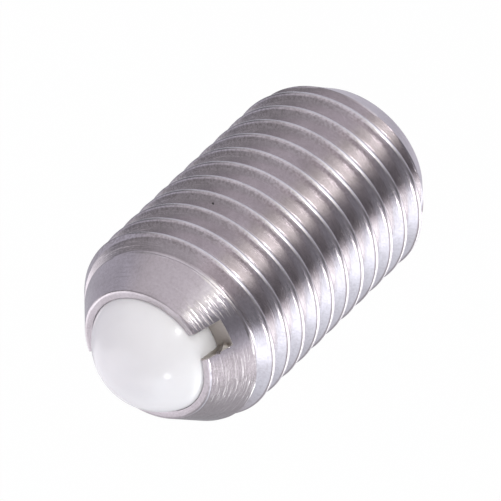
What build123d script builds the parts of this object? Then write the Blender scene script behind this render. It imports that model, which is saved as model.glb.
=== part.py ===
from build123d import *
from math import ceil, cos, radians, sin, sqrt, tan
import os

# Spring plunger with a ball nose: a screw-in sleeve with a coarse metric thread, a ball held in
# its front end by a rolled-in lip, and a compression spring behind the ball in a blind bore.
# Millimetres. The sleeve stands on its rear face, whose centre is the origin, with the ball on
# top (+Z). The driver slot runs along Y across the ball end.

# --- sleeve ---------------------------------------------------------------------------------
body_length = 27.6  # rear face to the lip's front face
thread_nominal = 16.0  # M16
thread_pitch = 2.0  # coarse
crest_allowance = 0.1  # the crests are turned this much under the nominal radius
thread_start = 0.81  # height of the first groove's middle above the rear face, on the +X side
rear_face_diameter = 12.15
rear_chamfer_angle = 33.4  # from the axis
nose_angle = 33.8  # from the axis
lip_width = 0.61  # front face of the lip, from its mouth to the corner with the nose
lip_edge_radius = 0.36  # rounding of that corner
lip_angle = 18.3  # slope of the rolled-in lip's inside, from the axis
slot_width = 2.0
slot_depth = 1.75  # from the lip's front face
bore_floor_height = 4.0  # solid metal left behind the bore

# --- ball -----------------------------------------------------------------------------------
ball_diameter = 10.0
ball_protrusion = 3.22  # ball beyond the lip's front face, at rest

# --- spring ---------------------------------------------------------------------------------
spring_wire = 1.0
spring_turns = 8.25

# --- clearances -----------------------------------------------------------------------------
ball_clearance = 0.05  # radial, ball in bore
lip_clearance = 0.04  # ball to the inside of the lip
spring_clearance = 0.3  # radial, spring in bore
contact_clearance = 0.03  # spring to ball

# --- dependent sizes ------------------------------------------------------------------------
thread_height = sqrt(3) / 2 * thread_pitch  # sharp 60 degree profile
major_radius = thread_nominal / 2 - crest_allowance
sharp_root_radius = thread_nominal / 2 - thread_height * 7 / 8
root_radius = sharp_root_radius + thread_height / 6
tool_radius = thread_nominal / 2 + thread_height / 16
ball_radius = ball_diameter / 2
bore_radius = ball_radius + ball_clearance
ball_sink = ball_radius - ball_protrusion  # ball centre behind the lip's front face
ball_height = body_length - ball_sink
lip_offset = ball_radius + lip_clearance  # ball centre to the inside of the lip
mouth_radius = (lip_offset - ball_sink * sin(radians(lip_angle))) / cos(radians(lip_angle))
lip_depth = (bore_radius - mouth_radius) / tan(radians(lip_angle))
tip_radius = mouth_radius + lip_width
nose_length = (major_radius - tip_radius) / tan(radians(nose_angle))
rear_radius = rear_face_diameter / 2
rear_chamfer_length = (major_radius - rear_radius) / tan(radians(rear_chamfer_angle))
spring_radius = bore_radius - spring_clearance - spring_wire / 2  # to the wire's middle
spring_inner_radius = spring_radius - spring_wire / 2
spring_top = ball_height - sqrt((ball_radius + contact_clearance) ** 2 - spring_inner_radius**2)
spring_length = spring_top - bore_floor_height


def revolved(points):
    """A solid turned about Z from (radius, height) points."""
    profile = make_face(Polyline(*[(r, 0, z) for r, z in points], close=True))
    return revolve(profile, Axis.Z)


def blank():
    """The turned outside of the sleeve: rear chamfer, cylinder, nose cone and rounded tip."""
    solid = revolved(
        [
            (0, 0),
            (rear_radius, 0),
            (major_radius, rear_chamfer_length),
            (major_radius, body_length - nose_length),
            (tip_radius, body_length),
            (0, body_length),
        ]
    )
    tip = solid.edges().filter_by(GeomType.CIRCLE).sort_by(Axis.Z)[-1]
    return fillet(tip, lip_edge_radius)


def bore():
    """The hollow for the ball and spring, narrowed by the lip at the front."""
    overrun = lip_edge_radius
    slope = tan(radians(lip_angle))
    return revolved(
        [
            (0, bore_floor_height),
            (bore_radius, bore_floor_height),
            (bore_radius, body_length - lip_depth),
            (mouth_radius, body_length),
            (mouth_radius - overrun * slope, body_length + overrun),
            (0, body_length + overrun),
        ]
    )


def thread_groove(start):
    """One turn of the helical groove between the crests, from the given height at +X."""
    half_root = (root_radius - sharp_root_radius) / sqrt(3)
    half_mouth = (tool_radius - sharp_root_radius) / sqrt(3)
    path = Pos(0, 0, start) * Helix(thread_pitch, thread_pitch, root_radius)
    section = [
        (root_radius, 0, start - half_root),
        (tool_radius, 0, start - half_mouth),
        (tool_radius, 0, start + half_mouth),
        (root_radius, 0, start + half_root),
    ]
    return sweep(make_face(Polyline(*section, close=True)), path=path, is_frenet=True)


def threaded(solid):
    """The solid with the groove cut along its whole height, turn after turn."""
    turns = ceil(body_length / thread_pitch) + 2
    for turn in range(turns):
        solid -= thread_groove(thread_start + (turn - 1) * thread_pitch)
    return solid


def driver_slot():
    """The slot across the ball end, open on both sides."""
    overrun = lip_edge_radius
    height = slot_depth + overrun
    middle = Pos(0, 0, body_length - slot_depth + height / 2)
    return middle * Box(slot_width, 2 * thread_nominal, height)


def threaded_sleeve():
    """The whole sleeve as one turned, threaded and slotted piece."""
    return threaded(blank() - bore() - driver_slot())


def ball():
    """The plastic ball, pressed up against the lip."""
    return Pos(0, 0, ball_height) * Sphere(ball_radius)


def spring():
    """The compression spring, its ends ground flat on the bore's floor and under the ball."""
    start = bore_floor_height - spring_wire / 2
    pitch = (spring_length + spring_wire) / spring_turns
    path = Pos(0, 0, start) * Helix(pitch, spring_length + spring_wire, spring_radius)
    section = Plane(path @ 0, z_dir=path % 0) * Circle(spring_wire / 2)
    coil = sweep(section, path=path, is_frenet=True)
    middle = Pos(0, 0, bore_floor_height + spring_length / 2)
    return coil & middle * Cylinder(bore_radius, spring_length)


os.makedirs("parts", exist_ok=True)
nodes = {"threaded_sleeve": threaded_sleeve(), "ball": ball(), "spring": spring()}
for name, shape in nodes.items():
    export_step(shape, f"parts/{name}.step")
    print(name, "volume", round(shape.volume, 2))
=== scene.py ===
"""Dresses the spring plunger: threaded sleeve, ball and spring, with their finishes, light and camera.

All lengths are in metres. The sleeve stands on its rear face, whose centre is the origin, with the ball
on top (+Z). The driver slot runs along Y across the ball end.
"""

from __future__ import annotations

import logging
import math
from dataclasses import dataclass, field
from enum import Enum
from typing import Any, Sequence, Union

import bmesh
import bpy
from mathutils import Matrix, Vector, noise

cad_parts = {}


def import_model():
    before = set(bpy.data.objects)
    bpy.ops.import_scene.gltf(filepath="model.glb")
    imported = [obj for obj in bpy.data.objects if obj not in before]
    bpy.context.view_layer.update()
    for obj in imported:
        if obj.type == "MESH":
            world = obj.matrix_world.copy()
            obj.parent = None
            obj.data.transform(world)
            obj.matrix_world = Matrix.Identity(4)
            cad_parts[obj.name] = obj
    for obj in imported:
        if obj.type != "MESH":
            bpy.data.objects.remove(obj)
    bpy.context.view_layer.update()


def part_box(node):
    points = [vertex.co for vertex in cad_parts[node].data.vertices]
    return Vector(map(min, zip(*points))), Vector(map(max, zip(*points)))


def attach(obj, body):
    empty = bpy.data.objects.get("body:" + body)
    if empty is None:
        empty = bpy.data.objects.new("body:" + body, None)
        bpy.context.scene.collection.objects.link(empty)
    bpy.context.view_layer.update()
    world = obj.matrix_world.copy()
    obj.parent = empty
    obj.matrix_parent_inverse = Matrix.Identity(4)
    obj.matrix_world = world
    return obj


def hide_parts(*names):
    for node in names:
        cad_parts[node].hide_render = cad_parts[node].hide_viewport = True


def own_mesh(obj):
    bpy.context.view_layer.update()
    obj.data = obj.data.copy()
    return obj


LOG = logging.getLogger("spring_plunger")
MM = 0.001
WELD = 0.0005 * MM
VIEW_TURN = -65.5  # where the camera stands about Z, in degrees from +X
VIEW_RISE = 42.32  # how far it looks down, in degrees
FLANK_SLOPE = math.sqrt(3)  # rise over run of a 60 degree thread's flank
SOFT, FINE = 3.0, 4.0  # detail of the noises
WHITE = (1.0, 1.0, 1.0)

Colour = tuple[float, float, float]
Span = tuple[float, float]
Profile = Sequence[tuple[float, float]]


class Slot(Enum):
    """The record's material slots."""

    SLEEVE = "stainless_steel"
    BALL = "white_acetal"
    SPRING = "spring_wire"


# ------------------------------------------------------------
# Node trees
# ------------------------------------------------------------


class Term:
    """A node's output socket, on which Python's operators add Math nodes."""

    def __init__(self, board: "Board", socket: bpy.types.NodeSocket) -> None:
        """Wraps one output socket of a board's tree."""
        self.board = board
        self.socket = socket

    def math(self, operation: str, *others: "Value") -> "Term":
        """The result of a Math node on this value and the others."""
        return self.board.node("ShaderNodeMath", {"operation": operation}, [self, *others])

    def reflected(self, operation: str, first: "Value") -> "Term":
        """The result of a Math node with this value as its second input."""
        return self.board.node("ShaderNodeMath", {"operation": operation}, [first, self])

    def __add__(self, other: "Value") -> "Term":
        """Sum."""
        return self.math("ADD", other)

    def __radd__(self, other: "Value") -> "Term":
        """Sum with a plain number first."""
        return self.math("ADD", other)

    def __sub__(self, other: "Value") -> "Term":
        """Difference."""
        return self.math("SUBTRACT", other)

    def __rsub__(self, other: "Value") -> "Term":
        """Difference from a plain number."""
        return self.reflected("SUBTRACT", other)

    def __mul__(self, other: "Value") -> "Term":
        """Product."""
        return self.math("MULTIPLY", other)

    def __rmul__(self, other: "Value") -> "Term":
        """Product with a plain number first."""
        return self.math("MULTIPLY", other)

    def __truediv__(self, other: "Value") -> "Term":
        """Quotient."""
        return self.math("DIVIDE", other)

    def __abs__(self) -> "Term":
        """Absolute value."""
        return self.math("ABSOLUTE")

    def sine(self) -> "Term":
        """Sine of an angle in radians."""
        return self.math("SINE")

    def cosine(self) -> "Term":
        """Cosine of an angle in radians."""
        return self.math("COSINE")

    def root(self) -> "Term":
        """Square root."""
        return self.math("SQRT")

    def least(self, other: "Value") -> "Term":
        """The smaller of two values."""
        return self.math("MINIMUM", other)

    def most(self, other: "Value") -> "Term":
        """The larger of two values."""
        return self.math("MAXIMUM", other)

    def soft_least(self, other: "Value", blend: "Value") -> "Term":
        """The smaller of two values, with the corner rounded."""
        return self.math("SMOOTH_MIN", other, blend)

    def soft_most(self, other: "Value", blend: "Value") -> "Term":
        """The larger of two values, with the corner rounded."""
        return self.math("SMOOTH_MAX", other, blend)

    def fade(self, low: float, high: float) -> "Term":
        """0 below low, 1 above high, and a smooth ramp between."""
        return self.board.node(
            "ShaderNodeMapRange",
            {"interpolation_type": "SMOOTHSTEP"},
            {"Value": self, "From Min": low, "From Max": high},
        )


Value = Union[Term, float, int]


class Board:
    """A node tree with one way to add any node."""

    def __init__(self, tree: bpy.types.NodeTree) -> None:
        """Wraps a shader, world or geometry node tree."""
        self.tree = tree

    def node(
        self,
        kind: str,
        settings: dict[str, Any] | None = None,
        inputs: Sequence[Any] | dict[Any, Any] | None = None,
        output: int | str = 0,
    ) -> Term:
        """Adds a node.

        Args:
            kind: the node's type.
            settings: its properties, or "stops" for a colour ramp's positions and colours, set first.
            inputs: values or terms for its sockets, in order, or by name or index.
            output: the output to return.

        Returns:
            The chosen output.
        """
        made = self.tree.nodes.new(kind)
        for name, value in (settings or {}).items():
            if name == "stops":
                self._set_stops(made.color_ramp, value)
            else:
                setattr(made, name, value)
        pairs = inputs.items() if isinstance(inputs, dict) else enumerate(inputs or [])
        for key, value in pairs:
            if value is not None:
                self.feed(made.inputs[key], value)
        return Term(self, made.outputs[output]) if made.outputs else Term(self, None)

    def feed(self, socket: bpy.types.NodeSocket, value: Any) -> None:
        """Links a term to a socket, or sets the socket's own value."""
        if isinstance(value, Term):
            self.tree.links.new(value.socket, socket)
        else:
            socket.default_value = value

    @staticmethod
    def _set_stops(ramp: bpy.types.ColorRamp, stops: Sequence[tuple[float, Sequence[float]]]) -> None:
        """Gives a colour ramp its stops, as (position, colour) pairs."""
        while len(ramp.elements) < len(stops):
            ramp.elements.new(0.5)
        for element, (position, colour) in zip(ramp.elements, stops):
            element.position = position
            element.color = (*colour, 1.0)

    def vector(self, x: Value, y: Value, z: Value) -> Term:
        """A vector from three values."""
        return self.node("ShaderNodeCombineXYZ", None, [x, y, z])

    def parts(self, vector: Term) -> tuple[Term, Term, Term]:
        """A vector's three values."""
        first = self.node("ShaderNodeSeparateXYZ", None, [vector])
        outputs = first.socket.node.outputs
        return first, Term(self, outputs[1]), Term(self, outputs[2])

    def mixed(self, share: Value, first: Term | Colour, second: Term | Colour) -> Term:
        """A blend of two colours."""
        first, second = (tone if isinstance(tone, Term) else (*tone, 1.0) for tone in (first, second))
        inputs = {0: share, 6: first, 7: second}
        return self.node("ShaderNodeMix", {"data_type": "RGBA"}, inputs, output=2)

    def noise(self, vector: Term, scale: float, detail: float) -> Term:
        """A noise value between 0 and 1."""
        inputs = {"Vector": vector, "Scale": scale, "Detail": detail}
        return self.node("ShaderNodeTexNoise", None, inputs)

    def along(self, vector: Term, direction: Vector) -> Term:
        """A vector's length along a fixed direction."""
        settings = {"operation": "DOT_PRODUCT"}
        return self.node("ShaderNodeVectorMath", settings, [vector, tuple(direction)], "Value")


def blank_material(name: str) -> tuple[bpy.types.Material, Board, bpy.types.ShaderNode]:
    """Starts a material.

    Args:
        name: the material's name.

    Returns:
        The material, its board and its main shader.
    """
    material = bpy.data.materials.new(name)
    material.use_nodes = True
    return material, Board(material.node_tree), material.node_tree.nodes["Principled BSDF"]


def coat(
    board: Board,
    shader: bpy.types.ShaderNode,
    colour: Term,
    roughness: Term,
    height: Term,
    depth: float,
    strength: float = 1.0,
) -> None:
    """Feeds a main shader with what changes over the surface.

    Args:
        board: the material's board.
        shader: its main shader.
        colour: the base colour.
        roughness: the roughness.
        height: the relief, in depths.
        depth: how deep a relief of 1 is.
        strength: the share of the relief that shows.
    """
    board.feed(shader.inputs["Base Color"], colour)
    board.feed(shader.inputs["Roughness"], roughness)
    bump = {"Strength": strength, "Distance": depth, "Height": height}
    board.feed(shader.inputs["Normal"], board.node("ShaderNodeBump", None, bump))


# ------------------------------------------------------------
# Finishes
# ------------------------------------------------------------


@dataclass(frozen=True)
class TurnedSteel:
    """Bright stainless steel with the rings that a lathe tool leaves.

    The rings follow the distance from the axis and the height together, so they run round the nose and
    lip and along the thread's flanks. Nothing depends on the angle's own value, so there is no seam.
    A Span whose name ends in fade holds the values where a mask is 0 and where it is 1.
    """

    name: str
    crest_radius: float
    nose_height: float
    slot_bottom: float
    colour: Colour = (0.64, 0.60, 0.625)
    stain: Colour = (0.46, 0.425, 0.435)
    # the slot's faces: a darker, browner colour painted as shade in the recess
    milled_and_shaded: Colour = (0.44, 0.405, 0.375)
    # near-black painted shade for the pit's hollow
    pit_shade: Colour = (0.03, 0.02, 0.02)
    roughness: float = 0.19
    milled_roughness: float = 0.45
    roughness_swing: float = 0.12

    height_share: float = 0.37
    axis_gap: float = 0.1 * MM
    ring_depth: float = 0.012 * MM
    rings_per_mm: float = 7.0
    ring_waves: float = 2.0
    ring_share: float = 0.55
    streak_length: float = 0.9 * MM
    streak_width: float = 0.7
    streak_share: float = 0.45
    nose_blend: float = 1.0 * MM
    nose_gain: float = 0.5

    tool_marks_per_mm: float = 4.6
    tool_waves: float = 3.0
    tool_mark_share: float = 1.1
    scored_share: float = 2.8
    scored_near_fade: Span = (0.4 * MM, 0.9 * MM)
    scored_far_fade: Span = (2.5 * MM, 3.4 * MM)
    scored_side_fade: Span = (0.0, MM)

    patch_size: float = 2.4 * MM
    patch_fade: Span = (0.38, 0.72)
    patch_share: float = 0.42
    speckles_per_mm: float = 5.0
    speckle_fade: Span = (0.30, 0.80)
    speckle_share: float = 0.38
    grain_fade: Span = (0.42, 0.64)
    grain_share: float = 0.50
    grain_depth_fade: Span = (0.6 * MM, 0.2 * MM)
    grain_facing_fade: Span = (0.3, 0.6)
    stained_side: Vector = field(default_factory=lambda: Vector((0.91, 0.415, 0)))
    stained_side_fade: Span = (-0.45, 0.15)

    slot_low: float = -1.10 * MM
    slot_high: float = 1.015 * MM
    slot_floor_fade: Span = (0.02 * MM, 0.01 * MM)
    slot_wall_blend: float = 0.005 * MM
    pit: Vector = field(default_factory=lambda: Vector((6.557, -3.298, 18.17)) * MM)
    pit_radius: float = 0.10 * MM
    pit_floor: float = 0.5
    pit_depth: float = 6.0

    def build(self) -> bpy.types.Material:
        """Makes the material.

        Returns:
            The material.
        """
        material, board, shader = blank_material(self.name)
        place = board.node("ShaderNodeTexCoord", output="Object")
        x, y, z = board.parts(place)
        radius = (x * x + y * y).root()
        safe = radius.most(self.axis_gap)
        across = (radius - z * self.height_share) / MM
        fine, cosine, sine = across * self.rings_per_mm, x / safe, y / safe
        rings = self._turned(fine, cosine, sine, self.ring_waves, FINE)
        streak_waves = self.crest_radius / self.streak_length
        streaks = self._turned(fine * self.streak_width, cosine, sine, streak_waves, SOFT)
        tool = self._turned(across * self.tool_marks_per_mm, cosine, sine, self.tool_waves, SOFT)
        on_nose = z.fade(self.nose_height, self.nose_height + self.nose_blend)
        marks = tool * on_nose * (self._beside_slot(x, y) * self.scored_share + self.tool_mark_share)
        patches = board.noise(place, 1.0 / self.patch_size, FINE)
        stain = self._stains(place, radius, safe, patches)
        slot, pit = self._in_slot(x, z), self._in_pit(place)
        # in the slot the colour turns to painted shade
        tinted = board.mixed(slot, board.mixed(stain, self.colour, self.stain), self.milled_and_shaded)
        swing = (patches + streaks - 1.0) * self.roughness_swing
        rough = swing + self.roughness + slot * (self.milled_roughness - self.roughness)
        lathed = rings * self.ring_share + streaks * self.streak_share
        relief = lathed * (on_nose * self.nose_gain + 1.0) + marks - pit * self.pit_depth
        # the pit takes its painted near-black shade as its colour
        coat(board, shader, board.mixed(pit, tinted, self.pit_shade), rough, relief, self.ring_depth)
        shader.inputs["Metallic"].default_value = 1.0
        return material

    @staticmethod
    def _turned(across: Term, cosine: Term, sine: Term, waves: float, detail: float) -> Term:
        """Noise on rings round the axis, which changes along a ring as often as waves says."""
        board = across.board
        return board.noise(board.vector(across, cosine * waves, sine * waves), 1.0, detail)

    def _beside_slot(self, x: Term, y: Term) -> Term:
        """1 on the scored part of the nose beside the slot's near end."""
        along = x.fade(*self.scored_near_fade) * (1.0 - x.fade(*self.scored_far_fade))
        return along * (0.0 - y).fade(*self.scored_side_fade)

    def _stains(self, place: Term, radius: Term, safe: Term, patches: Term) -> Term:
        """How stained the steel is: patches, speckles, and a grain below the crests on one side."""
        board = place.board
        speckle = board.noise(place, self.speckles_per_mm / MM, SOFT)
        deep, shallow = (self.crest_radius - depth for depth in self.grain_depth_fade)
        facing = board.parts(board.node("ShaderNodeNewGeometry", output="Normal"))[2]
        grain = radius.fade(deep, shallow) * facing.fade(*self.grain_facing_fade)
        grain = grain * (board.along(place, self.stained_side) / safe).fade(*self.stained_side_fade)
        stain = patches.fade(*self.patch_fade) * self.patch_share
        stain = stain + speckle.fade(*self.speckle_fade) * self.speckle_share
        return (stain + grain * speckle.fade(*self.grain_fade) * self.grain_share).least(1.0)

    def _in_slot(self, x: Term, z: Term) -> Term:
        """1 on the slot's milled floor and walls, which are rougher and painted darker and browner as
        shade.
        """
        low, high, blend = self.slot_low, self.slot_high, self.slot_wall_blend
        above = z.fade(*(self.slot_bottom - depth for depth in self.slot_floor_fade))
        return above * x.fade(low, low + blend) * (1.0 - x.fade(high - blend, high))

    def _in_pit(self, place: Term) -> Term:
        """1 in the pit, where the relief dips and the colour is painted near-black as shade."""
        inputs = [place, tuple(self.pit)]
        gap = place.board.node("ShaderNodeVectorMath", {"operation": "DISTANCE"}, inputs, "Value")
        return 1.0 - gap.fade(self.pit_radius * self.pit_floor, self.pit_radius)


@dataclass(frozen=True)
class DrawnWire:
    """Drawn stainless spring wire, bright with fine marks."""

    name: str
    colour: Colour = (0.52, 0.50, 0.48)
    dull: Colour = (0.36, 0.34, 0.32)
    roughness: float = 0.21
    roughness_swing: float = 0.15
    marks_per_mm: float = 6.0
    mark_fade: Span = (0.45, 0.7)
    mark_depth: float = 0.004 * MM

    def build(self) -> bpy.types.Material:
        """Makes the material.

        Returns:
            The material.
        """
        material, board, shader = blank_material(self.name)
        place = board.node("ShaderNodeTexCoord", output="Object")
        marks = board.noise(place, self.marks_per_mm / MM, SOFT)
        tone = board.mixed(marks.fade(*self.mark_fade), self.colour, self.dull)
        rough = marks * self.roughness_swing + self.roughness
        coat(board, shader, tone, rough, marks, self.mark_depth)
        shader.inputs["Metallic"].default_value = 1.0
        return material


@dataclass(frozen=True)
class WhiteAcetal:
    """Smooth, glossy white plastic with faint handling marks."""

    name: str
    colour: Colour = (0.945, 0.94, 0.945)
    dusty: Colour = (0.91, 0.90, 0.905)
    roughness: float = 0.12
    roughness_swing: float = 0.06
    index: float = 1.48
    subsurface: float = 0.15
    subsurface_reach: Colour = (1.0, 0.95, 0.9)
    subsurface_depth: float = 0.6 * MM
    clouds_per_mm: float = 0.5
    cloud_fade: Span = (0.4, 0.8)
    cloud_share: float = 0.6
    grains_per_mm: float = 5.0
    grain_depth: float = 0.001 * MM
    grain_strength: float = 0.5

    def build(self) -> bpy.types.Material:
        """Makes the material.

        Returns:
            The material.
        """
        material, board, shader = blank_material(self.name)
        place = board.node("ShaderNodeTexCoord", output="Object")
        cloud = board.noise(place, self.clouds_per_mm / MM, FINE)
        grain = board.noise(place, self.grains_per_mm / MM, SOFT)
        tone = board.mixed(cloud.fade(*self.cloud_fade) * self.cloud_share, self.colour, self.dusty)
        rough = cloud * self.roughness_swing + self.roughness
        coat(board, shader, tone, rough, grain, self.grain_depth, self.grain_strength)
        shader.inputs["IOR"].default_value = self.index
        shader.inputs["Subsurface Weight"].default_value = self.subsurface
        shader.inputs["Subsurface Radius"].default_value = self.subsurface_reach
        shader.inputs["Subsurface Scale"].default_value = self.subsurface_depth
        return material


# ------------------------------------------------------------
# Mesh helpers
# ------------------------------------------------------------


def link(name: str, mesh: bpy.types.Mesh) -> bpy.types.Object:
    """Puts a mesh in the scene as an object at the origin."""
    made = bpy.data.objects.new(name, mesh)
    bpy.context.scene.collection.objects.link(made)
    return made


def mesh_of(form: bmesh.types.BMesh, name: str) -> bpy.types.Mesh:
    """Turns a form into a new mesh and frees the form."""
    mesh = bpy.data.meshes.new(name)
    form.to_mesh(mesh)
    form.free()
    return mesh


def lathe(profile: Profile, segments: int) -> bpy.types.Mesh:
    """Turns a profile of (radius, height) points about Z.

    Args:
        profile: the points in order; a first or last point on the axis closes that end.
        segments: how many steps make the full turn.

    Returns:
        The turned mesh.
    """
    points = [
        (r * math.cos(math.tau * step / segments), r * math.sin(math.tau * step / segments), z)
        for r, z in profile
        for step in range(segments)
    ]
    faces = []
    for row in range(0, (len(profile) - 1) * segments, segments):
        above = row + segments
        for step in range(segments):
            after = (step + 1) % segments
            faces.append((row + step, row + after, above + after, above + step))
    mesh = bpy.data.meshes.new("turned")
    mesh.from_pydata(points, [], faces)
    return mesh


def arc(centre: tuple[float, float], radius: float, start: float, end: float, steps: int) -> Profile:
    """Points on an arc of a profile.

    Args:
        centre: the arc's centre as (radius, height).
        radius: the arc's own radius.
        start: its first angle in degrees from the outward direction.
        end: its last angle.
        steps: how many steps it takes.

    Returns:
        The points as (radius, height) pairs.
    """
    angles = [math.radians(start + (end - start) * step / steps) for step in range(steps + 1)]
    return [(centre[0] + radius * math.cos(a), centre[1] + radius * math.sin(a)) for a in angles]


def joined(meshes: Sequence[bpy.types.Mesh], name: str) -> bpy.types.Mesh:
    """Welds several meshes into one whose faces point outwards.

    Args:
        meshes: the meshes, which are used up.
        name: the new mesh's name.

    Returns:
        The welded mesh.
    """
    form = bmesh.new()
    for mesh in meshes:
        form.from_mesh(mesh)
        bpy.data.meshes.remove(mesh)
    bmesh.ops.remove_doubles(form, verts=form.verts, dist=WELD)
    bmesh.ops.dissolve_degenerate(form, edges=form.edges, dist=WELD)
    bmesh.ops.recalc_face_normals(form, faces=form.faces)
    return mesh_of(form, name)


def smooth(mesh: bpy.types.Mesh, crease_degrees: float) -> None:
    """Shades a mesh smoothly, except at edges sharper than the crease angle."""
    form = bmesh.new()
    form.from_mesh(mesh)
    for face in form.faces:
        face.smooth = True
    limit = math.radians(crease_degrees)
    for edge in form.edges:
        edge.smooth = len(edge.link_faces) == 2 and edge.calc_face_angle(0.0) < limit
    form.to_mesh(mesh)
    form.free()


def dress(mesh: bpy.types.Mesh, material: bpy.types.Material) -> None:
    """Gives a mesh one material."""
    mesh.materials.clear()
    mesh.materials.append(material)


def settled(carrier: bpy.types.Object) -> bpy.types.Mesh:
    """Runs an object's modifiers, takes them off and returns the result as a plain mesh."""
    graph = bpy.context.evaluated_depsgraph_get()
    mesh = bpy.data.meshes.new_from_object(carrier.evaluated_get(graph))
    carrier.modifiers.clear()
    return mesh


class Recipe:
    """A geometry node tree with named inputs, run once and kept as a plain mesh."""

    KINDS = {int: "NodeSocketInt", float: "NodeSocketFloat", bpy.types.Material: "NodeSocketMaterial"}

    def __init__(self, name: str) -> None:
        """Starts an empty tree."""
        self.name = name
        self.tree = bpy.data.node_groups.new(name, "GeometryNodeTree")
        self.board = Board(self.tree)
        self.values: dict[str, Any] = {}
        self.tree.interface.new_socket("Geometry", in_out="OUTPUT", socket_type="NodeSocketGeometry")

    def entry_value(self, name: str, value: Any) -> Term:
        """Adds a named input.

        Args:
            name: the input's name.
            value: its value, which also decides its type.

        Returns:
            The input as a term.
        """
        kind = self.KINDS[type(value)]
        socket = self.tree.interface.new_socket(name, in_out="INPUT", socket_type=kind)
        self.values[socket.identifier] = value
        return self.board.node("NodeGroupInput", output=name)

    def moved(self, geometry: Term, x: Term, y: Term, z: Term) -> Term:
        """Geometry with its points put at the given places."""
        inputs = {"Geometry": geometry, "Position": self.board.vector(x, y, z)}
        return self.board.node("GeometryNodeSetPosition", None, inputs)

    def bake(self, geometry: Term, material: Term) -> bpy.types.Mesh:
        """Ends the tree and runs it with its inputs.

        Args:
            geometry: what the tree made.
            material: the material that it carries.

        Returns:
            The result as a plain mesh.
        """
        whole = self.board.node("GeometryNodeRealizeInstances", None, [geometry])
        inputs = {"Geometry": whole, "Material": material}
        dressed = self.board.node("GeometryNodeSetMaterial", None, inputs)
        self.board.node("NodeGroupOutput", None, [dressed])
        carrier = link(self.name, bpy.data.meshes.new(self.name))
        modifier = carrier.modifiers.new(self.name, "NODES")
        modifier.node_group = self.tree
        for identifier, value in self.values.items():
            modifier[identifier] = value
        mesh = settled(carrier)
        bpy.data.objects.remove(carrier)
        return mesh


# ------------------------------------------------------------
# Sub-assemblies
# ------------------------------------------------------------


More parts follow.
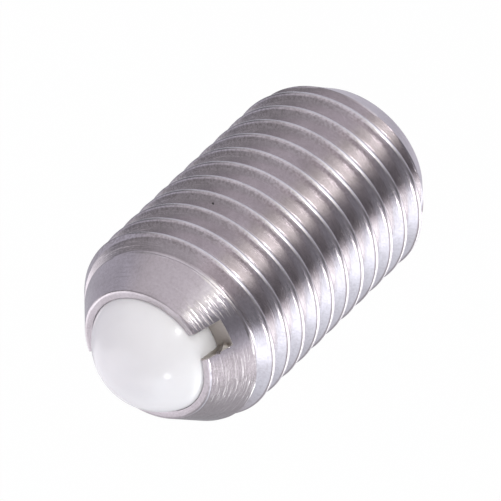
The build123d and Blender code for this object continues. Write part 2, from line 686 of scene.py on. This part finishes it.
@dataclass
class Sleeve:
    """The one-piece sleeve: coarse thread, conical nose, rolled-in lip, slot and blind bore."""

    length: float
    crest_radius: float
    pitch: float = 2.0 * MM
    thread_nominal_radius: float = 8.0 * MM
    first_groove: float = 0.81 * MM
    rear_radius: float = 6.075 * MM
    rear_chamfer: float = 33.4
    rear_edge: float = 0.10 * MM
    rear_bevel: float = 0.35
    nose_angle: float = 33.8
    lip_width: float = 0.61 * MM
    lip_edge: float = 0.36 * MM
    lip_edge_steps: int = 8
    mouth_edge: float = 0.05 * MM
    mouth_edge_steps: int = 4
    mouth_radius: float = 4.72 * MM
    lip_angle: float = 18.3
    bore_radius: float = 5.05 * MM
    bore_floor: float = 4.0 * MM
    slot_width: float = 2.0 * MM
    slot_depth: float = 1.75 * MM
    cutter_reach: float = 1.5
    cutter_rise: float = 2.0 * MM
    burr: float = 0.44 * MM
    burrs_per_mm: float = 3.6
    burr_height_share: float = 0.4
    burr_spacing: float = 0.08 * MM
    burr_levels: int = 4
    burr_start: float = 5.1 * MM
    burr_growth: float = 0.5 * MM
    burr_least: float = 0.2
    segments: int = 192
    columns: int = 32
    crest_blend: float = 0.36 * MM
    edge_blend: float = 0.025 * MM
    root_blend: float = 0.20 * MM
    nick_depth: float = 0.018 * MM
    nicks_per_mm: float = 1.3
    nick_detail: float = 2.0
    nick_fade: Span = (0.60, 0.74)
    crease_degrees: float = 62.0

    @property
    def tip_radius(self) -> float:
        """Radius of the corner between the lip's front face and the nose, before rounding."""
        return self.mouth_radius + self.lip_width

    @property
    def nose_height(self) -> float:
        """Height at which the nose starts at the thread's crests."""
        slope = math.tan(math.radians(self.nose_angle))
        return self.length - (self.crest_radius - self.tip_radius) / slope

    @property
    def nose_end(self) -> float:
        """Height at which the nose meets the rounding of the lip's edge."""
        turn = math.radians(90 - self.nose_angle) / 2
        return self.length - self.lip_edge * math.tan(turn) * math.cos(math.radians(self.nose_angle))

    @property
    def slot_bottom(self) -> float:
        """Height of the slot's floor."""
        return self.length - self.slot_depth

    def build(self, finish: str) -> bpy.types.Object:
        """Makes the sleeve, with its slot cut.

        Args:
            finish: the name of its finish.

        Returns:
            The sleeve.
        """
        material = TurnedSteel(finish, self.crest_radius, self.nose_height, self.slot_bottom).build()
        front = lathe(self._front_profile(), self.segments)
        rear = lathe(self._rear_profile(), self.segments)
        mesh = joined([self._threaded_outside(material), front, rear], "sleeve")
        dress(mesh, material)
        sleeve = link("sleeve", mesh)
        self._cut_slot(sleeve)
        smooth(sleeve.data, self.crease_degrees)
        return sleeve

    def _threaded_outside(self, material: bpy.types.Material) -> bpy.types.Mesh:
        """The outside from the rear chamfer to the nose, a sheared grid that follows the helix."""
        recipe = Recipe("threaded_outside")
        board, value = recipe.board, recipe.entry_value
        fundamental = self.pitch * FLANK_SLOPE / 2
        pitch = value("Pitch", self.pitch)
        start = value("Crest height at X", self.first_groove - 1.5 * self.pitch)
        crest = value("Crest radius", self.crest_radius)
        sharp = value("Sharp crest radius", self.thread_nominal_radius + fundamental / 8)
        root = value("Root radius", self.thread_nominal_radius - fundamental * 17 / 24)
        rear = value("Rear radius", self.rear_radius)
        rear_slope = value("Rear slope", math.tan(math.radians(self.rear_chamfer)))
        tip = value("Tip radius", self.tip_radius)
        nose_slope = value("Nose slope", math.tan(math.radians(self.nose_angle)))
        length = value("Length", self.length)
        bottom, top = value("Bottom", self.rear_edge), value("Top", self.nose_end)
        nick_depth = value("Nick depth", self.nick_depth)
        nicks = value("Nicks per millimetre", self.nicks_per_mm)
        turns = value("Turns", math.ceil(self.length / self.pitch) + 2)
        columns, segments = value("Columns", self.columns), value("Segments", self.segments)
        finish = value("Finish", material)
        counts = {"Vertices X": turns * columns + 1, "Vertices Y": segments + 1}
        grid = board.node("GeometryNodeMeshGrid", None, {"Size X": 1.0, "Size Y": 1.0, **counts})
        u, v, _ = board.parts(board.node("GeometryNodeInputPosition"))
        along, turn = (u + 0.5) * turns, v + 0.5
        cosine, sine = (turn * math.tau).cosine(), (turn * math.tau).sine()
        from_crest = abs(along - along.math("ROUND")) * pitch
        z = (start + pitch * (along + turn)).most(bottom).least(top)
        skin = board.vector(cosine * crest, sine * crest, z)
        nick = board.noise(skin, nicks / MM, self.nick_detail).fade(*self.nick_fade) * nick_depth
        flank = sharp - from_crest * FLANK_SLOPE
        radius = flank.soft_least(crest - nick, self.crest_blend).soft_most(root, self.root_blend)
        radius = radius.soft_least(tip + (length - z) * nose_slope, self.edge_blend)
        radius = radius.soft_least(rear + z * rear_slope, self.edge_blend)
        shaped = recipe.moved(grid, radius * cosine, radius * sine, z)
        welded = board.node("GeometryNodeMergeByDistance", None, {"Geometry": shaped, "Distance": WELD})
        return recipe.bake(welded, finish)

    def _front_profile(self) -> Profile:
        """The lip and the bore, from the nose's end inwards to the bore's floor."""
        half_corner = math.radians(90 - self.nose_angle) / 2
        inset = self.lip_edge * math.tan(half_corner)
        edge_centre = (self.tip_radius - inset, self.length - self.lip_edge)
        mouth_centre = (self.mouth_radius + self.mouth_edge, self.length - self.mouth_edge)
        lip_slope = math.tan(math.radians(self.lip_angle))
        throat = self.length - (self.bore_radius - self.mouth_radius) / lip_slope
        return [
            *arc(edge_centre, self.lip_edge, self.nose_angle, 90.0, self.lip_edge_steps),
            *arc(mouth_centre, self.mouth_edge, 90.0, 180.0, self.mouth_edge_steps),
            (self.bore_radius, throat),
            (self.bore_radius, self.bore_floor),
            (0.0, self.bore_floor),
        ]

    def _rear_profile(self) -> Profile:
        """The rear face, from its middle out to the start of the chamfer."""
        bevel = self.rear_edge * self.rear_bevel
        chamfer_start = self.rear_radius + self.rear_edge * math.tan(math.radians(self.rear_chamfer))
        return [
            (0.0, 0.0),
            (self.rear_radius - 2 * bevel, 0.0),
            (chamfer_start - bevel, bevel),
            (chamfer_start, self.rear_edge),
        ]

    def _slot_cutter(self) -> bpy.types.Mesh:
        """The slot's shape, a bar along Y whose wall on the low side of X is ragged."""
        half, reach = self.slot_width / 2, self.cutter_reach * self.crest_radius
        steps = round(2 * reach / self.burr_spacing)
        form = bmesh.new()
        rows = []
        for step in range(steps + 1):
            y = -reach + 2 * reach * step / steps
            rough = min(max((abs(y) - self.burr_start) / self.burr_growth, self.burr_least), 1.0)
            wall = []
            for level in range(self.burr_levels + 2):
                z = self.slot_bottom + self.slot_depth * level / self.burr_levels
                spot = Vector((y, z * self.burr_height_share, 0)) * (self.burrs_per_mm / MM)
                ragged = noise.noise(spot) * self.burr * rough
                wall.append(form.verts.new((-half + ragged, y, z)))
            over = form.verts.new((half, y, self.length + self.cutter_rise))
            rows.append([*wall, over, form.verts.new((half, y, self.slot_bottom))])
        for first, second in zip(rows, rows[1:]):
            for index in range(len(first)):
                after = (index + 1) % len(first)
                form.faces.new((first[index], second[index], second[after], first[after]))
        form.faces.new(rows[0])
        form.faces.new(reversed(rows[-1]))
        bmesh.ops.triangulate(form, faces=form.faces)
        bmesh.ops.recalc_face_normals(form, faces=form.faces)
        return mesh_of(form, "slot_cutter")

    def _cut_slot(self, sleeve: bpy.types.Object) -> None:
        """Cuts the driver slot across the ball end, with the burr that a cutter left along one wall."""
        cutter = link("slot_cutter", self._slot_cutter())
        cut = sleeve.modifiers.new("slot", "BOOLEAN")
        cut.operation, cut.solver, cut.object = "DIFFERENCE", "EXACT", cutter
        sleeve.data = settled(sleeve)
        bpy.data.objects.remove(cutter)


@dataclass
class Spring:
    """The compression spring, with closed and ground ends, between the bore's floor and the ball."""

    bottom: float
    top: float
    outer_radius: float
    wire: float = 1.0 * MM
    turns: float = 8.25
    closed_share: float = 0.11
    steps_per_turn: int = 64
    wire_sides: int = 20
    crease_degrees: float = 50.0

    def build(self, finish: str) -> bpy.types.Object:
        """Makes the spring from a coiled line, a round section and two flat ends.

        Args:
            finish: the name of its finish.

        Returns:
            The spring.
        """
        recipe = Recipe("spring")
        board, value = recipe.board, recipe.entry_value
        wire = value("Wire radius", self.wire / 2)
        coil = value("Coil radius", self.outer_radius - self.wire / 2)
        bottom, top = value("Bottom", self.bottom), value("Top", self.top)
        turns = value("Turns", self.turns)
        material = value("Finish", DrawnWire(finish).build())
        steps = value("Steps", round(self.turns * self.steps_per_turn))
        line = board.node("GeometryNodeMeshLine", None, {"Count": steps})
        share = board.node("GeometryNodeInputIndex") / (steps - 1)
        angle = share * turns * math.tau
        margin = self.closed_share / (1 + 2 * self.closed_share)
        first_rise = margin * margin * (3 - 2 * margin)
        rise = share.fade(-self.closed_share, 1 + self.closed_share)
        rise = (rise - first_rise) / (1 - 2 * first_rise)
        height = bottom + rise * (top - bottom)
        coiled = recipe.moved(line, coil * angle.cosine(), coil * angle.sine(), height)
        path = board.node("GeometryNodeMeshToCurve", None, {"Mesh": coiled})
        upright = board.node("GeometryNodeSetCurveNormal", {"mode": "Z_UP"}, {"Curve": path})
        circle = {"Resolution": self.wire_sides, "Radius": wire}
        section = board.node("GeometryNodeCurvePrimitiveCircle", None, circle)
        sweep = {"Curve": upright, "Profile Curve": section, "Fill Caps": True}
        swept = board.node("GeometryNodeCurveToMesh", None, sweep)
        x, y, z = board.parts(board.node("GeometryNodeInputPosition"))
        ground = recipe.moved(swept, x, y, z.most(bottom).least(top))
        mesh = recipe.bake(ground, material)
        smooth(mesh, self.crease_degrees)
        return link("spring", mesh)


@dataclass
class Ball:
    """The plastic ball behind the lip."""

    centre: Vector
    radius: float
    subdivisions: int = 6
    crease_degrees: float = 60.0

    def build(self, finish: str) -> bpy.types.Object:
        """Makes the ball.

        Args:
            finish: the name of its finish.

        Returns:
            The ball.
        """
        form = bmesh.new()
        bmesh.ops.create_icosphere(form, subdivisions=self.subdivisions, radius=self.radius)
        bmesh.ops.translate(form, verts=form.verts, vec=self.centre)
        mesh = mesh_of(form, "ball")
        smooth(mesh, self.crease_degrees)
        dress(mesh, WhiteAcetal(finish).build())
        return link("ball_smooth", mesh)


# ------------------------------------------------------------
# Studio
# ------------------------------------------------------------


def axes() -> tuple[Vector, Vector]:
    """The level directions towards the camera and across it, to its left before it is tilted."""
    turn = math.radians(VIEW_TURN)
    near = Vector((math.cos(turn), math.sin(turn), 0))
    return near, Vector((near.y, -near.x, 0))


@dataclass(frozen=True)
class View:
    """The camera's place and frame.

    The frame is shown_width wide where the front's middle is, and target says where in the frame that
    point stands, as shares of the width from the left and of the height from the top.
    """

    tilt: float = -43.72
    distance: float = 622 * MM
    shown_width: float = 35.6838 * MM
    target: tuple[float, float] = (0.29451, 0.70888)
    sensor: float = 36.0
    clip: Span = (0.01, 20.0)

    def build(self, front: Vector) -> None:
        """Places the camera.

        Args:
            front: the middle of the lip's front face.
        """
        off_axis, tilt = math.radians(90 - VIEW_RISE), math.radians(self.tilt)
        near, side = axes()
        rear = Vector((0, 0, -1))
        ahead = rear * math.cos(off_axis) - near * math.sin(off_axis)
        below = rear * math.sin(off_axis) + near * math.cos(off_axis)
        right = below * math.cos(tilt) - side * math.sin(tilt)
        down = below * math.sin(tilt) + side * math.cos(tilt)
        data = bpy.data.cameras.new("camera")
        data.sensor_width = self.sensor
        data.lens = self.sensor * self.distance / self.shown_width
        data.clip_start, data.clip_end = self.clip
        camera = bpy.data.objects.new("camera", data)
        bpy.context.scene.collection.objects.link(camera)
        from_left, from_top = ((share - 0.5) * self.shown_width for share in self.target)
        place = front - right * from_left - down * from_top - ahead * self.distance
        turn = Matrix((right, -down, -ahead)).transposed()
        camera.matrix_world = Matrix.Translation(place) @ turn.to_4x4()
        bpy.context.scene.camera = camera


class Tint(Enum):
    """The colours of the studio's light."""

    PLAIN = (1.0, 0.98, 1.03)
    ROSE = (1.0, 0.95, 1.01)
    WARM = (1.0, 1.0, 0.94)
    COOL = (0.98, 0.96, 1.09)
    BLUSH = (1.06, 0.95, 1.01)
    SKY = (0.94, 0.99, 1.08)
    FRESH = (1.0, 1.05, 1.03)


Stop = tuple[float, float, Tint]


@dataclass(frozen=True)
class Lamp:
    """A small round lamp, placed by the face that would mirror it to the camera.

    Its turn, lean and size are in degrees, and edge holds the shares of the size where its glow
    starts and where it is full.
    """

    turn: float
    lean: float
    size: float
    strength: float
    edge: Span = (1.3, 0.7)


@dataclass(frozen=True)
class Studio:
    """The light round the plunger: five rows of pale walls with dark gaps, two small lamps and a floor.

    The light's direction is told by the face that would mirror it to the camera: the face's turn
    about the plunger's axis and its lean, both in degrees. Each row is a list of stops, each with
    the turn, the brightness and the tint, and takes over from the row under it where its fade says.
    The camera itself sees a white world and a white floor with a faint shadow.
    """

    walls: tuple[Stop, ...] = (
        (-180, 0.80, Tint.PLAIN), (-105, 1.60, Tint.PLAIN), (-88, 0.75, Tint.PLAIN),
        (-75, 0.25, Tint.COOL), (-60, 0.28, Tint.ROSE), (-50, 0.28, Tint.ROSE),
        (-42, 0.37, Tint.ROSE), (-28, 0.45, Tint.ROSE), (-14, 0.59, Tint.ROSE),
        (-9, 0.62, Tint.BLUSH), (-4, 0.50, Tint.BLUSH), (1, 0.43, Tint.BLUSH),
        (5, 0.56, Tint.BLUSH), (8, 0.52, Tint.BLUSH), (12, 0.35, Tint.BLUSH),
        (18, 0.23, Tint.COOL), (25, 0.21, Tint.COOL), (29, 0.17, Tint.COOL),
        (34, 0.12, Tint.COOL), (37, 0.30, Tint.COOL), (40, 0.82, Tint.COOL),
        (44, 1.62, Tint.SKY), (55, 2.00, Tint.SKY), (61, 1.58, Tint.SKY),
        (68, 1.20, Tint.SKY), (85, 0.90, Tint.SKY), (110, 0.55, Tint.PLAIN),
        (180, 0.80, Tint.PLAIN),
    )
    nose_walls: tuple[Stop, ...] = (
        (-180, 0.55, Tint.PLAIN), (-75, 0.56, Tint.COOL), (-60, 0.54, Tint.COOL),
        (-45, 0.65, Tint.ROSE), (-30, 0.69, Tint.ROSE), (-18, 0.74, Tint.ROSE),
        (-10, 0.80, Tint.ROSE), (-4, 1.04, Tint.PLAIN), (0, 1.28, Tint.WARM),
        (4, 1.06, Tint.PLAIN), (8, 0.57, Tint.COOL), (11, 0.31, Tint.COOL),
        (15, 0.19, Tint.COOL), (21, 0.21, Tint.COOL), (27, 0.27, Tint.COOL),
        (32, 0.42, Tint.COOL), (37, 0.66, Tint.COOL), (42, 0.82, Tint.ROSE),
        (47, 0.90, Tint.ROSE), (55, 0.91, Tint.ROSE), (62, 0.66, Tint.ROSE),
        (80, 0.48, Tint.PLAIN), (110, 0.35, Tint.PLAIN), (180, 0.55, Tint.PLAIN),
    )
    horizon: tuple[Stop, ...] = (
        (-180, 0.66, Tint.PLAIN), (-75, 0.28, Tint.COOL), (-60, 0.16, Tint.PLAIN),
        (-50, 0.52, Tint.PLAIN), (-35, 0.88, Tint.PLAIN), (-25, 0.90, Tint.PLAIN),
        (-14, 0.98, Tint.PLAIN), (-8, 1.02, Tint.WARM), (-3, 1.55, Tint.WARM),
        (2, 2.22, Tint.WARM), (7, 2.40, Tint.WARM), (11, 1.09, Tint.WARM),
        (15, 0.50, Tint.PLAIN), (19, 0.27, Tint.PLAIN), (31, 0.16, Tint.PLAIN),
        (35, 0.16, Tint.PLAIN), (39, 1.25, Tint.PLAIN), (43, 2.70, Tint.FRESH),
        (48, 3.70, Tint.FRESH), (58, 4.00, Tint.FRESH), (66, 4.10, Tint.FRESH),
        (73, 3.50, Tint.FRESH), (82, 0.90, Tint.PLAIN), (180, 0.66, Tint.PLAIN),
    )
    crown: tuple[Stop, ...] = (
        (-180, 1.00, Tint.PLAIN), (-105, 1.50, Tint.PLAIN), (-85, 1.90, Tint.PLAIN),
        (-60, 1.40, Tint.PLAIN), (-25, 1.05, Tint.PLAIN), (0, 1.00, Tint.PLAIN),
        (11, 0.26, Tint.COOL), (30, 0.24, Tint.COOL), (37, 1.10, Tint.PLAIN),
        (44, 1.60, Tint.PLAIN), (54, 1.60, Tint.PLAIN), (62, 1.00, Tint.PLAIN),
        (80, 0.45, Tint.PLAIN), (110, 0.55, Tint.PLAIN), (180, 1.00, Tint.PLAIN),
    )
    low_walls: tuple[Stop, ...] = (
        (-180, 0.60, Tint.SKY), (-80, 0.80, Tint.SKY), (-72, 0.26, Tint.SKY),
        (-60, 0.50, Tint.SKY), (-45, 0.76, Tint.SKY), (-35, 0.94, Tint.SKY),
        (-20, 1.00, Tint.SKY), (-12, 1.12, Tint.SKY), (-6, 1.75, Tint.SKY),
        (0, 1.90, Tint.SKY), (7, 1.90, Tint.SKY), (12, 1.08, Tint.SKY),
        (17, 0.48, Tint.SKY), (23, 0.32, Tint.SKY), (29, 0.06, Tint.SKY),
        (32, 0.36, Tint.SKY), (36, 1.90, Tint.PLAIN), (44, 3.50, Tint.PLAIN),
        (54, 3.20, Tint.PLAIN), (65, 2.20, Tint.PLAIN), (80, 1.60, Tint.PLAIN),
        (180, 0.60, Tint.SKY),
    )
    overhead: Colour = (0.98, 0.95, 1.01)
    below: Colour = (0.66, 0.64, 0.72)
    low_fade: Span = (-9, -4)
    low_end_fade: Span = (5, 9)
    horizon_fade: Span = (5, 10)
    raised_from: Span = (38, 46)
    raised_by: float = 11
    nose_fade: Span = (27.5, 31.5)
    wall_fade: Span = (46, 53)
    crown_fade: Span = (62, 66)
    overhead_fade: Span = (80, 86)
    lamps: tuple[Lamp, ...] = (
        Lamp(turn=41.3, lean=51.6, size=4.8, strength=9.0),
        Lamp(turn=3.6, lean=25.5, size=5.0, strength=12.5),
    )
    floor_radius: float = 42 * MM
    floor_segments: int = 128
    floor_middle: Vector = field(default_factory=lambda: Vector((-6.2, 14.4, 0)) * MM)
    floor_colour: Colour = (0.68, 0.70, 0.75)
    floor_roughness: float = 0.9
    floor_white_share: float = 0.99
    floor_clear_share: float = 0.95

    def build(self) -> None:
        """Makes the world and the floor."""
        world = bpy.data.worlds.new("studio")
        bpy.context.scene.world = world
        world.use_nodes = True
        board = Board(world.node_tree)
        direction = board.node("ShaderNodeTexCoord", output="Generated")
        near, side = axes()
        rise = math.radians(VIEW_RISE)
        eye = near * math.cos(rise) + Vector((0, 0, math.sin(rise)))
        light = self._walls(direction, eye, near, side)
        for lamp in self.lamps:
            towards = self._mirrored(eye, near, side, lamp)
            start, full = (math.cos(math.radians(lamp.size * share)) for share in lamp.edge)
            glow = board.along(direction, towards).fade(start, full)
            light = board.mixed(glow, light, (lamp.strength, lamp.strength, lamp.strength))
        seen = board.node("ShaderNodeLightPath", output="Is Camera Ray")
        light = board.mixed(seen, light, WHITE)
        board.feed(world.node_tree.nodes["Background"].inputs["Color"], light)
        self._floor()

    def _walls(self, direction: Term, eye: Vector, near: Vector, side: Vector) -> Term:
        """The walls' light.

        Args:
            direction: where the light comes from.
            eye: the direction towards the camera.
            near: the level direction towards the camera.
            side: the level direction across it.

        Returns:
            The light's colour.
        """
        board = direction.board
        half = board.node("ShaderNodeVectorMath", {"operation": "ADD"}, [direction, tuple(eye)])
        out, across = board.along(half, near), board.along(half, side)
        up = board.along(half, Vector((0, 0, 1)))
        place = across.math("ARCTAN2", out) / math.tau + 0.5
        lean = up.math("ARCTAN2", (across * across + out * out).root()) * (180 / math.pi)
        low = lean.fade(*self.low_fade) * (1.0 - lean.fade(*self.low_end_fade))
        raised = place.fade(*map(self._share, self.raised_from)) * self.raised_by
        rows = (
            (low, self.low_walls),
            ((lean - raised).fade(*self.horizon_fade), self.horizon),
            (lean.fade(*self.nose_fade), self.nose_walls),
            (lean.fade(*self.wall_fade), self.walls),
            (lean.fade(*self.crown_fade), self.crown),
        )
        light = self.below
        for mask, stops in rows:
            light = board.mixed(mask, light, self._row(board, place, stops))
        return board.mixed(lean.fade(*self.overhead_fade), light, self.overhead)

    @staticmethod
    def _share(turn: float) -> float:
        """A turn's place on a row, from 0 to 1."""
        return turn / 360 + 0.5

    def _row(self, board: Board, place: Term, stops: Sequence[Stop]) -> Term:
        """A colour that changes with the turn."""
        placed = [
            (self._share(turn), tuple(brightness * share for share in tint.value))
            for turn, brightness, tint in stops
        ]
        return board.node("ShaderNodeValToRGB", {"stops": placed}, [place])

    @staticmethod
    def _mirrored(eye: Vector, near: Vector, side: Vector, lamp: Lamp) -> Vector:
        """The direction that a face with the lamp's turn and lean mirrors to the eye."""
        turn, lean = math.radians(lamp.turn), math.radians(lamp.lean)
        level = near * math.cos(turn) + side * math.sin(turn)
        face = level * math.cos(lean) + Vector((0, 0, math.sin(lean)))
        return face * (2 * face.dot(eye)) - eye

    def _floor(self) -> None:
        """Lays the floor: white to the camera but for a faint shadow, and clear to mirrored rays."""
        form = bmesh.new()
        segments, radius = self.floor_segments, self.floor_radius
        bmesh.ops.create_circle(form, cap_ends=True, segments=segments, radius=radius)
        bmesh.ops.translate(form, verts=form.verts, vec=self.floor_middle)
        mesh = mesh_of(form, "floor")
        material, board, paint = blank_material("floor_white")
        paint.inputs["Base Color"].default_value = (*self.floor_colour, 1)
        paint.inputs["Roughness"].default_value = self.floor_roughness
        camera = board.node("ShaderNodeLightPath", output="Is Camera Ray")
        rays = camera.socket.node.outputs
        mirrored = Term(board, rays["Is Glossy Ray"]).most(Term(board, rays["Is Transmission Ray"]))
        white = board.node("ShaderNodeEmission", None, {"Color": (*WHITE, 1), "Strength": 1.0})
        clear = board.node("ShaderNodeBsdfTransparent")
        painted = Term(board, paint.outputs[0])
        layers = ((mirrored * self.floor_clear_share, clear), (camera * self.floor_white_share, white))
        for share, layer in layers:
            painted = board.node("ShaderNodeMixShader", None, {0: share, 1: painted, 2: layer})
        board.feed(material.node_tree.nodes["Material Output"].inputs["Surface"], painted)
        dress(mesh, material)
        link("floor", mesh)


# ------------------------------------------------------------
# Assembly
# ------------------------------------------------------------


def enter(piece: bpy.types.Object, node: str, body: str) -> None:
    """Puts a finished piece in place of its plain piece: hides the plain piece and attaches the
    finished one to its body.

    Args:
        piece: the piece's object.
        node: the plain piece that it stands for.
        body: the body that it moves with.
    """
    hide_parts(node)
    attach(piece, body)
    LOG.info("%s: %d faces", piece.name, len(piece.data.polygons))


def main() -> None:
    """Builds the plunger's pieces in order."""
    logging.basicConfig(level=logging.INFO, format="%(message)s")
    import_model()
    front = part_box("threaded_sleeve")[1]
    enter(Sleeve(front.z, front.x).build("turned_steel"), "threaded_sleeve", "sleeve")
    low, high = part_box("ball")
    ball = Ball(centre=(low + high) / 2, radius=(high.z - low.z) / 2)
    enter(ball.build("white_acetal"), "ball", "ball")
    low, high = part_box("spring")
    spring = Spring(bottom=low.z, top=high.z, outer_radius=high.x).build("drawn_wire")
    enter(spring, "spring", "sleeve")
    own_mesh(spring)
    Studio().build()
    View().build(Vector((0, 0, front.z)))
    bpy.context.scene.view_settings.view_transform = "Standard"


if __name__ == "__main__":
    main()
